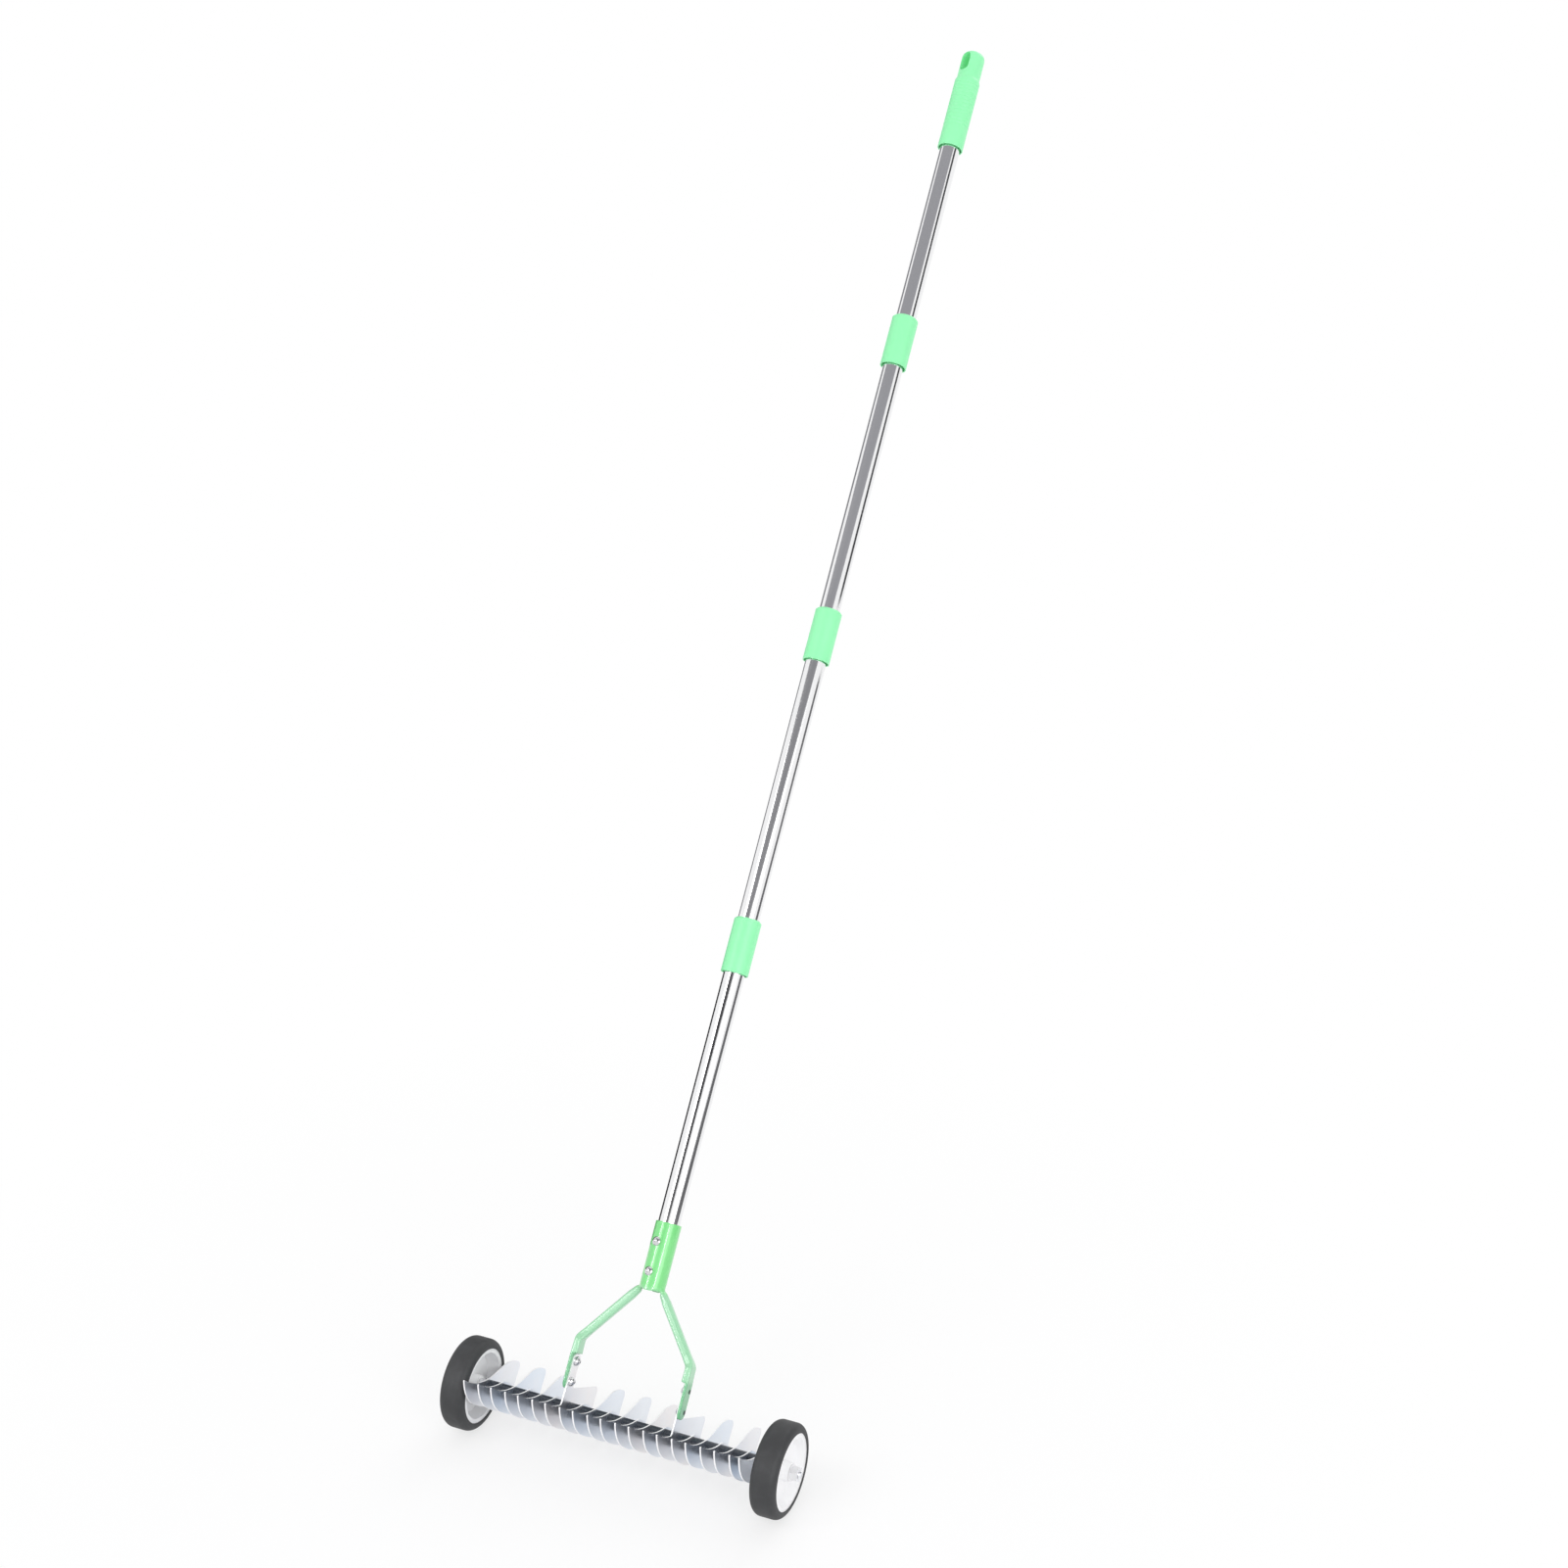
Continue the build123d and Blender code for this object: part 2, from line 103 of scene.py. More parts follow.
def add(tree, kind, inputs=None, **settings):
    """Adds a node; each input is a constant or another node's output socket."""
    made = tree.nodes.new(kind)
    for name, value in settings.items():
        setattr(made, name, value)
    for name, value in (inputs or {}).items():
        if isinstance(value, bpy.types.NodeSocket):
            tree.links.new(value, made.inputs[name])
        else:
            made.inputs[name].default_value = value
    return made


def start_material(name):
    """An empty material, its node tree and the coordinates fixed to the CAD frame, in metres."""
    material = bpy.data.materials.new(name)
    material.use_nodes = True
    tree = material.node_tree
    tree.nodes.clear()
    return material, tree, add(tree, "ShaderNodeTexCoord")


def finish_material(tree, inputs):
    """Closes the tree with a Principled surface that has these inputs."""
    shader = add(tree, "ShaderNodeBsdfPrincipled", inputs)
    add(tree, "ShaderNodeOutputMaterial", {"Surface": shader.outputs["BSDF"]})


# ---------------------------------------------------------------- shapes
def extent(name, start, direction):
    """Where a CAD node begins and ends in this direction, measured from start."""
    places = [(v.co - start).dot(direction) for v in NODES[name].data.vertices]
    return min(places), max(places)


def new_object(name, mesh, material):
    """An object in the scene with this mesh and material."""
    made = bpy.data.objects.new(name, mesh)
    mesh.materials.append(material)
    bpy.context.scene.collection.objects.link(made)
    return made


def bridge(mesh, rings):
    """Faces from each ring of vertices to the next; all rings have the same count."""
    for ring, after in zip(rings, rings[1:]):
        for i in range(len(ring)):
            j = (i + 1) % len(ring)
            mesh.faces.new((ring[i], ring[j], after[j], after[i]))


def finish_mesh(name, mesh):
    """Mesh data from a mesh under construction, with its faces turned outward."""
    bmesh.ops.recalc_face_normals(mesh, faces=mesh.faces)
    data = bpy.data.meshes.new(name)
    mesh.to_mesh(data)
    mesh.free()
    return data


def smooth_except_corners(data, degrees):
    """Smooth shading with edges kept sharp where faces meet at more than this angle."""
    data.shade_smooth()
    data.set_sharp_from_angle(angle=math.radians(degrees))


def lathe(name, outline, base, axis, steps):
    """A mesh of an open (radius, height) outline turned about an axis through base."""
    side = axis.orthogonal().normalized()
    across = axis.cross(side)
    mesh = bmesh.new()
    rings = []
    turns = [2 * math.pi * i / steps for i in range(steps)]
    for radius, height in outline:
        centre = base + axis * height
        if not radius:
            rings.append([mesh.verts.new(centre)])
            continue
        rings.append([
            mesh.verts.new(centre + (side * math.cos(t) + across * math.sin(t)) * radius)
            for t in turns
        ])
    for low, high in zip(rings, rings[1:]):
        for i in range(steps):
            j = (i + 1) % steps
            corners = [
                low[i % len(low)], low[j % len(low)], high[j % len(high)], high[i % len(high)],
            ]
            corners = list(dict.fromkeys(corners))      # a point on the axis comes up twice
            if len(corners) > 2:
                mesh.faces.new(corners)
    made = bpy.data.meshes.new(name)
    mesh.to_mesh(made)
    mesh.free()
    return made


def arc(centre, radius, start, end, steps):
    """Points of an arc in the (radius, height) plane, angles in degrees."""
    angles = [math.radians(start + (end - start) * i / steps) for i in range(steps + 1)]
    return [(centre[0] + radius * math.cos(a), centre[1] + radius * math.sin(a)) for a in angles]


def rounded_section(across, along, edge):
    """Corner-rounded rectangle as (across, along) points, going round once."""
    points = []
    steps = 6
    for quarter, (a, b) in enumerate(((1, 1), (-1, 1), (-1, -1), (1, -1))):
        for i in range(steps + 1):
            turn = math.pi / 2 * (quarter + i / steps)
            points.append((
                a * (across / 2 - edge) + edge * math.cos(turn),
                b * (along / 2 - edge) + edge * math.sin(turn),
            ))
    return points


def leg_screw_places():
    """Side and middle of each leg screw: the groups of vertices of the screws' CAD node."""
    parting = sum(extent("leg_screws", AXLE, HANDLE_AXIS)) / 2      # between lower and upper
    groups = {}
    for vertex in NODES["leg_screws"].data.vertices:
        side = 1 if vertex.co.x > 0 else -1
        up = (vertex.co - AXLE).dot(HANDLE_AXIS)
        groups.setdefault((side, up > parting), []).append(vertex.co)
    for (side, _), points in sorted(groups.items()):
        lowest = Vector(map(min, *points))
        highest = Vector(map(max, *points))
        yield side, (lowest + highest) / 2


# ---------------------------------------------------------------- materials
def zinc_plated_steel(colours, roughness=0.2, edge_metal=1.0):
    """Bright zinc plate on stamped spring steel.

    Electroplating leaves a mirror-like skin over faint rolling lines. The passivation gives it
    a cast from blue to warm grey that differs from one part to the next. The sheared edges get
    a pale colour and more roughness, a painted highlight. With edge_metal low they are drawn
    almost as a matt white, because edges as thin as the blades' catch light from all round.
    """
    material, tree, at = start_material("bright zinc plated steel")
    across = add(tree, "ShaderNodeMapping", {
        "Vector": at.outputs["Object"],
        "Rotation": (LEAN, 0, 0),
        # lines 0.5 mm apart, coarser than real rolling lines so that they show
        "Scale": (1 / (20 * MM), 1 / (25 * MM), 1 / (0.5 * MM)),
    })
    lines = add(tree, "ShaderNodeTexNoise", {"Vector": across.outputs[0], "Scale": 1, "Detail": 3})
    cloud = add(tree, "ShaderNodeTexNoise", {
        "Vector": at.outputs["Object"], "Scale": 1 / (24 * MM), "Detail": 1,
    })
    by_part = add(tree, "ShaderNodeMapping", {
        "Vector": at.outputs["Object"], "Scale": (1 / (21 * MM), 1.0, 1.0),
    })
    part = add(tree, "ShaderNodeTexNoise", {"Vector": by_part.outputs[0], "Scale": 1, "Detail": 0})
    turn = add(tree, "ShaderNodeMapRange", {
        "Value": part.outputs[0], "From Min": 0.35, "From Max": 0.65,
    })
    facing = add(tree, "ShaderNodeSeparateXYZ", {"Vector": at.outputs["Normal"]})
    flat = add(tree, "ShaderNodeMath", {0: facing.outputs["X"]}, operation="ABSOLUTE")
    is_edge = add(tree, "ShaderNodeMath", {0: flat.outputs[0], 1: 0.6}, operation="LESS_THAN")
    passive = add(tree, "ShaderNodeMix", {
        "Factor": turn.outputs[0], 6: linear("#E2ECF8"), 7: linear("#F5F0EF"),
    }, data_type="RGBA")
    cast = add(tree, "ShaderNodeMix", {
        "Factor": cloud.outputs[0], 6: passive.outputs[2], 7: colours.plate,
    }, data_type="RGBA")
    # painted highlight: faces not turned along the axle, the edges, take a pale, nearly white
    # colour
    colour = add(tree, "ShaderNodeMix", {
        "Factor": is_edge.outputs[0], 6: cast.outputs[2], 7: colours.edge_highlight,
    }, data_type="RGBA")
    polish = add(tree, "ShaderNodeMapRange", {
        "Value": lines.outputs[0], "To Min": roughness * 0.75, "To Max": roughness * 1.4,
    })
    rough = add(tree, "ShaderNodeMix", {
        "Factor": is_edge.outputs[0], "A": polish.outputs[0], "B": 0.38,
    })
    metal = add(tree, "ShaderNodeMix", {"Factor": is_edge.outputs[0], "A": 1.0, "B": edge_metal})
    relief = add(tree, "ShaderNodeBump", {
        "Height": lines.outputs[0], "Strength": 0.12, "Distance": 0.02 * MM,
    })
    finish_material(tree, {
        "Base Color": colour.outputs[2],
        "Roughness": rough.outputs[0],
        "Normal": relief.outputs[0],
        "Metallic": metal.outputs[0],
    })
    return material


def bright_steel(colour):
    """Turned and polished screw steel: almost a mirror, a little uneven from the tool."""
    material, tree, at = start_material("polished screw steel")
    grain = add(tree, "ShaderNodeTexNoise", {
        "Vector": at.outputs["Object"], "Scale": 1 / (0.5 * MM), "Detail": 2,
    })
    polish = add(tree, "ShaderNodeMapRange", {
        "Value": grain.outputs[0], "To Min": 0.08, "To Max": 0.2,
    })
    finish_material(tree, {
        "Base Color": colour, "Roughness": polish.outputs[0], "Metallic": 1.0,
    })
    return material


def dark_end_steel(colour):
    """A screw's end, drawn dull, scratched and dark green-grey."""
    material, tree, at = start_material("dark screw end steel")
    scratch = add(tree, "ShaderNodeTexNoise", {
        "Vector": at.outputs["Object"], "Scale": 1 / (0.7 * MM), "Detail": 4,
    })
    tint = add(tree, "ShaderNodeMix", {
        "Factor": scratch.outputs[0], 6: colour, 7: linear("#6E7B74"),
    }, data_type="RGBA")
    relief = add(tree, "ShaderNodeBump", {
        "Height": scratch.outputs[0], "Strength": 0.5, "Distance": 0.1 * MM,
    })
    finish_material(tree, {
        "Base Color": tint.outputs[2], "Roughness": 0.5, "Normal": relief.outputs[0],
        "Metallic": 0.8,
    })
    return material


def stainless_tube(colour):
    """Welded stainless tube, polished lengthwise: lines run along it and soften what it
    reflects only slightly. They are drawn 0.4 mm apart, coarser than real ones, to show."""
    material, tree, at = start_material("polished stainless tube")
    along = add(tree, "ShaderNodeMapping", {
        "Vector": at.outputs["Object"],
        "Rotation": (LEAN, 0, 0),
        "Scale": (1 / (0.4 * MM), 1 / (0.4 * MM), 1 / (180 * MM)),
    })
    lines = add(tree, "ShaderNodeTexNoise", {"Vector": along.outputs[0], "Scale": 1, "Detail": 2})
    polish = add(tree, "ShaderNodeMapRange", {
        "Value": lines.outputs[0], "To Min": 0.07, "To Max": 0.16,
    })
    relief = add(tree, "ShaderNodeBump", {
        "Height": lines.outputs[0], "Strength": 0.08, "Distance": 0.02 * MM,
    })
    finish_material(tree, {
        "Base Color": colour,
        "Roughness": polish.outputs[0],
        "Normal": relief.outputs[0],
        "Metallic": 1.0,
    })
    return material


def mint_polypropylene(colour):
    """Injection-moulded polypropylene: a satin skin with a fine grain, and a little light
    passes under it so that shadows stay green."""
    material, tree, at = start_material("moulded mint polypropylene")
    grain = add(tree, "ShaderNodeTexNoise", {
        "Vector": at.outputs["Object"], "Scale": 1 / (0.6 * MM), "Detail": 2,
    })
    flow = add(tree, "ShaderNodeTexNoise", {
        "Vector": at.outputs["Object"], "Scale": 1 / (30 * MM), "Detail": 1,
    })
    tint = add(tree, "ShaderNodeMix", {
        "Factor": flow.outputs[0], 6: colour, 7: linear("#93F5B3"),
    }, data_type="RGBA")
    polish = add(tree, "ShaderNodeMapRange", {
        "Value": grain.outputs[0], "To Min": 0.3, "To Max": 0.44,
    })
    relief = add(tree, "ShaderNodeBump", {
        "Height": grain.outputs[0], "Strength": 0.15, "Distance": 0.03 * MM,
    })
    finish_material(tree, {
        "Base Color": tint.outputs[2],
        "Roughness": polish.outputs[0],
        "Normal": relief.outputs[0],
        "IOR": 1.49,
        "Subsurface Weight": 0.08,
        "Subsurface Radius": (0.6, 1.0, 0.7),
        "Subsurface Scale": 1.5 * MM,
    })
    return material


def mint_enamel(colours, fork):
    """Stoved enamel on steel: high gloss over a slight orange peel. Its colour is set paler and
    bluer on the legs than on the sleeve. The pressed tabs get a darker green, a painted shade."""
    material, tree, at = start_material("stoved mint enamel")
    peel = add(tree, "ShaderNodeTexNoise", {
        "Vector": at.outputs["Object"], "Scale": 1 / (2.2 * MM), "Detail": 1,
    })
    relief = add(tree, "ShaderNodeBump", {
        "Height": peel.outputs[0], "Strength": 0.06, "Distance": 0.05 * MM,
    })
    up = add(tree, "ShaderNodeVectorMath", {
        0: at.outputs["Object"], 1: HANDLE_AXIS,
    }, operation="DOT_PRODUCT")
    foot = AXLE.dot(HANDLE_AXIS) + fork.sleeve_foot
    shoulder = AXLE.dot(HANDLE_AXIS) + fork.shoulder
    on_leg = add(tree, "ShaderNodeMapRange", {
        "Value": up.outputs["Value"], "From Min": foot + 5 * MM, "From Max": foot - 2 * MM,
    })
    # painted shade: below the shoulder the pressed tabs are drawn in a darker green
    in_tab_shade = add(tree, "ShaderNodeMapRange", {
        "Value": up.outputs["Value"],
        "From Min": shoulder + 2.5 * MM, "From Max": shoulder - 1.5 * MM,
    })
    leg = add(tree, "ShaderNodeMix", {
        "Factor": on_leg.outputs[0], 6: colours.enamel, 7: colours.enamel_leg,
    }, data_type="RGBA")
    tab = add(tree, "ShaderNodeMix", {
        "Factor": in_tab_shade.outputs[0], 6: leg.outputs[2], 7: colours.tab_painted_shade,
    }, data_type="RGBA")
    finish_material(tree, {
        "Base Color": tab.outputs[2],
        "Roughness": 0.34,
        "Normal": relief.outputs[0],
        "IOR": 1.5,
        "Coat Weight": 1.0,
        "Coat Roughness": 0.07,
    })
    return material


def black_nylon(colour):
    """Moulded black nylon tube: a smooth, glossy skin with faint flow marks."""
    material, tree, at = start_material("moulded black nylon")
    flow = add(tree, "ShaderNodeTexNoise", {
        "Vector": at.outputs["Object"], "Scale": 1 / (3 * MM), "Detail": 2,
    })
    polish = add(tree, "ShaderNodeMapRange", {
        "Value": flow.outputs[0], "To Min": 0.2, "To Max": 0.34,
    })
    tint = add(tree, "ShaderNodeMix", {
        "Factor": flow.outputs[0], 6: colour, 7: linear("#343B46"),
    }, data_type="RGBA")
    finish_material(tree, {
        "Base Color": tint.outputs[2], "Roughness": polish.outputs[0], "IOR": 1.53,
    })
    return material


def tyre_rubber(colour):
    """Solid vulcanised rubber: dull, finely pebbled from the mould, with a trace of bloom."""
    material, tree, at = start_material("vulcanised tyre rubber")
    pebble = add(tree, "ShaderNodeTexNoise", {
        "Vector": at.outputs["Object"], "Scale": 1 / (0.9 * MM), "Detail": 3,
    })
    bloom = add(tree, "ShaderNodeTexNoise", {
        "Vector": at.outputs["Object"], "Scale": 1 / (11 * MM), "Detail": 4,
    })
    dusty = add(tree, "ShaderNodeMapRange", {
        "Value": bloom.outputs[0], "From Min": 0.45, "From Max": 0.75,
        "To Min": 0.0, "To Max": 0.5,
    })
    tint = add(tree, "ShaderNodeMix", {
        "Factor": dusty.outputs[0], 6: colour, 7: linear("#3E3F42"),
    }, data_type="RGBA")
    polish = add(tree, "ShaderNodeMapRange", {
        "Value": pebble.outputs[0], "To Min": 0.5, "To Max": 0.72,
    })
    relief = add(tree, "ShaderNodeBump", {
        "Height": pebble.outputs[0], "Strength": 0.35, "Distance": 0.06 * MM,
    })
    finish_material(tree, {
        "Base Color": tint.outputs[2],
        "Roughness": polish.outputs[0],
        "Normal": relief.outputs[0],
        "IOR": 1.52,
    })
    return material


def white_polypropylene(colour):
    """Injection-moulded white polypropylene: satin, with a very fine eroded grain."""
    material, tree, at = start_material("moulded white polypropylene")
    grain = add(tree, "ShaderNodeTexNoise", {
        "Vector": at.outputs["Object"], "Scale": 1 / (0.8 * MM), "Detail": 2,
    })
    polish = add(tree, "ShaderNodeMapRange", {
        "Value": grain.outputs[0], "To Min": 0.3, "To Max": 0.45,
    })
    relief = add(tree, "ShaderNodeBump", {
        "Height": grain.outputs[0], "Strength": 0.12, "Distance": 0.03 * MM,
    })
    finish_material(tree, {
        "Base Color": colour,
        "Roughness": polish.outputs[0],
        "Normal": relief.outputs[0],
        "IOR": 1.49,
        "Subsurface Weight": 0.06,
        "Subsurface Radius": (1.0, 1.0, 1.0),
        "Subsurface Scale": 1.2 * MM,
    })
    return material


def natural_nylon(colour):
    """Unfilled nylon, as moulded: milky and satin."""
    material, tree, at = start_material("natural nylon")
    grain = add(tree, "ShaderNodeTexNoise", {
        "Vector": at.outputs["Object"], "Scale": 1 / (1 * MM), "Detail": 2,
    })
    polish = add(tree, "ShaderNodeMapRange", {
        "Value": grain.outputs[0], "To Min": 0.35, "To Max": 0.5,
    })
    finish_material(tree, {
        "Base Color": colour, "Roughness": polish.outputs[0], "IOR": 1.53,
    })
    return material


def dress(material, *names):
    """Gives the CAD nodes with these names, or with names that begin so, the material."""
    found = [node for name, node in NODES.items() if name.startswith(names)]
    if not found:
        raise RuntimeError(f"no CAD node begins with any of {names}")
    for node in found:
        node.data.materials.clear()
        node.data.materials.append(material)


# ---------------------------------------------------------------- stage
SENSOR_WIDTH = 36       # millimetres

# Each card: name, distance from the handle's axis, shade, strength, and rows. A row is a place
# along the handle from the axle and the card's two edges there, turned about the handle from
# straight ahead, in degrees. Distances and places are in metres.
CARDS = (
    ("flag_ahead_low", 2.0, "#3A3A3C", 1.0, (
        (0.22, -17, 8), (0.45, -17, 9), (0.75, -19, 16),
    )),
    ("flag_ahead_middle", 2.0, "#8E8E91", 1.0, (
        (0.75, -20, 18), (0.99, -28, 31), (1.40, -45, 49),
    )),
    ("flag_ahead_high", 2.0, "#9E9EA2", 1.0, (
        (1.40, -45, 49), (1.53, -48, 55), (1.89, -62, 61), (2.60, -67, 61),
    )),
    ("flag_right_low", 0.5, "#6C6C6E", 1.0, (
        (0.20, 70, 116), (0.42, 88, 122), (0.70, 101, 128), (0.90, 98, 126),
    )),
    ("flag_right_high", 0.5, "#4A4A4C", 1.0, (
        (1.00, 97, 127), (1.30, 88, 112), (1.70, 70, 94),
    )),
    ("flag_left_low", 0.3, "#303032", 1.0, ((0.18, -160, -95), (0.54, -155, -95))),
    ("flag_left_middle", 0.3, "#8A8A8D", 1.0, ((0.54, -150, -104), (0.88, -140, -104))),
    ("flag_left_high", 0.3, "#8A8A8D", 1.0, ((0.90, -118, -84), (1.60, -118, -84))),
    ("strip_left", 1.9, "#FFFFFF", 14.0, ((-0.30, -38, -30), (0.262, -38, -30))),
    ("strip_right", 1.9, "#FFFFFF", 14.0, ((-0.30, 30, 38), (0.262, 30, 38))),
)


# ---------------------------------------------------------------- sizes and colours to change
def length_of(name, description, metres, **more):
    """A length that a user can change."""
    return FloatProperty(
        name=name, description=description, default=metres, unit="LENGTH", **more,
    )


def colour_of(name, description, hex_colour):
    """A colour that a user can change, from its sRGB hex value."""
    return FloatVectorProperty(
        name=name, description=description, default=linear(hex_colour), size=4,
        subtype="COLOR", min=0, max=1,
    )


class ColourSettings(bpy.types.PropertyGroup):
    plate: colour_of("Zinc plate", "Flat faces of the plated steel", "#F0F3F8")
    # painted highlight: the near-white colour given to the edges of the plated steel
    edge_highlight: colour_of("Sheared edge", "Cut edges of the plated steel", "#FBFBFC")
    screw: colour_of("Screws", "Polished heads of the fork's screws", "#D6D6D8")
    # the leg screws' ends are drawn dark green-grey
    screw_end: colour_of("Screw ends", "Sawn ends of the leg screws", "#3E4A45")
    tube: colour_of("Tubes", "Stainless handle tubes", "#F1F1F2")
    plastic: colour_of("Couplers and grip", "Moulded plastic of the handle", "#9BFBBA")
    enamel: colour_of("Sleeve enamel", "Enamel on the sleeve", "#7BDF84")
    enamel_leg: colour_of("Leg enamel", "Enamel on the legs", "#9FD9AF")
    # painted shade: the tabs' darker green stands in for the shade they sit in
    tab_painted_shade: colour_of("Tab enamel", "Enamel on the pressed tabs", "#6CBC86")
    bush: colour_of("Bushes", "Black nylon between the blades", "#262C36")
    tyre: colour_of("Tyres", "Rubber of the tyres", "#313234")
    rim: colour_of("Rims", "White plastic of the rims", "#F4F4F5")
    thread: colour_of("Joint parts", "Nylon plugs and sockets in the tubes", "#DEDCD2")


class StageSettings(bpy.types.PropertyGroup):
    floor_width: length_of("Floor width", "Side of the square floor", 14.0)
    lens: FloatProperty(
        name="Lens", description="Focal length of the camera", default=57.16, unit="CAMERA",
    )
    camera_place: FloatVectorProperty(
        name="Camera", description="Place of the camera", default=(0.927, -1.746, 1.582),
        subtype="TRANSLATION", unit="LENGTH",
    )
    camera_azimuth: FloatProperty(
        name="Azimuth", description="Turn of the camera round the tool from the front",
        default=math.radians(23.4), subtype="ANGLE", unit="ROTATION",
    )
    camera_elevation: FloatProperty(
        name="Elevation", description="Downward tilt of the camera",
        default=math.radians(23.5), subtype="ANGLE", unit="ROTATION",
    )


class GripSettings(bpy.types.PropertyGroup):
    """Heights are taken along the handle from the grip's lower rim."""
    skin: length_of("Radius", "Outer radius of the grip's straight part", 13.8 * MM)
    waist: length_of("Waist", "Outer radius under the head", 12.5 * MM)
    head: length_of("Head", "Outer radius of the head", 12.5 * MM)
    crown: length_of("Crown", "Rounding of the top", 8 * MM)
    bore: length_of("Bore", "Radius of the bore for the tube", 11.05 * MM)
    floor: length_of("Floor", "Solid plastic over the tube's end", 32 * MM)
    skirt_wall: length_of("Skirt wall", "Thickness of the lower rim", 1.2 * MM)
    skirt_depth: length_of("Skirt depth", "Depth of the recess in the lower rim", 5 * MM)
    grooves: IntProperty(name="Grooves", description="Number of grooves", default=13)
    groove_start: length_of("First groove", "Height of the lowest groove", 26 * MM)
    groove_pitch: length_of("Groove pitch", "Distance between grooves", 4.2 * MM)
    groove_depth: length_of("Groove depth", "Depth of a groove", 0.45 * MM)
    slot_width: length_of("Slot width", "Width of the hanging slot", 11.5 * MM)
    slot_length: length_of("Slot length", "Length of the hanging slot along the grip", 22 * MM)
    slot_margin: length_of("Slot margin", "Plastic above the hanging slot", 4 * MM)
    slot_turn: FloatProperty(
        name="Slot turn", description="Turn of the slot about the handle, from straight ahead",
        default=math.radians(-25), subtype="ANGLE", unit="ROTATION",
    )


class ForkSettings(bpy.types.PropertyGroup):
    """Heights are taken along the handle from the axle."""
    sleeve_radius: length_of("Sleeve radius", "Outer radius of the sleeve", 13 * MM)
    sleeve_wall: length_of("Sleeve wall", "Thickness of the sleeve", 1.95 * MM)
    sleeve_foot: length_of("Sleeve foot", "Height of the sleeve's lower rim", 130 * MM)
    sleeve_length: length_of("Sleeve length", "Length of the sleeve", 67.5 * MM)
    bar: length_of("Bar", "Size of the legs' bar, both ways", 8.6 * MM)
    pressed: length_of("Pressed bar", "Thickness of the bar where it is pressed wide", 7.2 * MM)
    wide: length_of("Pressed width", "Width of the pressed bar and the tab", 15.5 * MM)
    tab: length_of("Tab", "Thickness of the tab", 3.1 * MM)
    shoulder: length_of("Shoulder", "Height of the tab's top", 54.5 * MM)
    bend: length_of("Bend", "Height of the legs' bend", 70 * MM)
    leg_top: length_of("Leg top", "Height of the legs' ends", 131 * MM)
    leg_reach: length_of("Leg reach", "From the handle's axis to the legs' ends", 12.1 * MM)
    leg_head: length_of("Leg screw head", "Radius of the leg screws' heads", 4.7 * MM)
    leg_head_height: length_of("Leg head height", "Height of the leg screws' heads", 4.2 * MM)
    sleeve_head: length_of("Sleeve screw head", "Radius of the sleeve screws' heads", 4.5 * MM)
    sleeve_head_height: length_of(
        "Sleeve head height", "Height of the sleeve screws' heads", 2.8 * MM,
    )
    sleeve_head_node: length_of("Plain head", "Radius of the plain sleeve screws' heads", 4.3 * MM)
    screw_turn: FloatProperty(
        name="Screw turn", description="Sleeve screws' turn about the handle, from straight ahead",
        default=math.radians(-13), subtype="ANGLE", unit="ROTATION",
    )
    grain: length_of(
        "Mesh grain", "Size of the facets that the fork is remeshed to", 0.6 * MM, precision=5,
    )


class ThreadSettings(bpy.types.PropertyGroup):
    pitch: length_of("Pitch", "Pitch of the axle's thread", 1.25 * MM)
    depth: length_of("Depth", "Depth of the axle's thread", 0.6 * MM)
    threaded: length_of("Threaded", "Threaded length at each end", 12 * MM)
    point: length_of("Point", "Chamfer at each end", 0.9 * MM)


class DETHATCHER_OT_blades(bpy.types.Operator):
    """Finishes the comb: blades, washers and nuts in zinc plate, bushes in black nylon"""
    bl_idname = "dethatcher.blades"
    bl_label = "Comb and fasteners"

    def execute(self, context):
        colours = context.scene.dethatcher_colours
        # the blades' edges are drawn almost matt white: a painted highlight
        dress(zinc_plated_steel(colours, roughness=0.3, edge_metal=0.1),
              "finned_blade", "short_blade", "bracket_blade")
        dress(zinc_plated_steel(colours),
              "end_spacer", "clamp_", "wheel_nuts", "wheel_washers", "sleeve_nuts")
        dress(black_nylon(colours.bush), "blade_spacers")
        return {"FINISHED"}


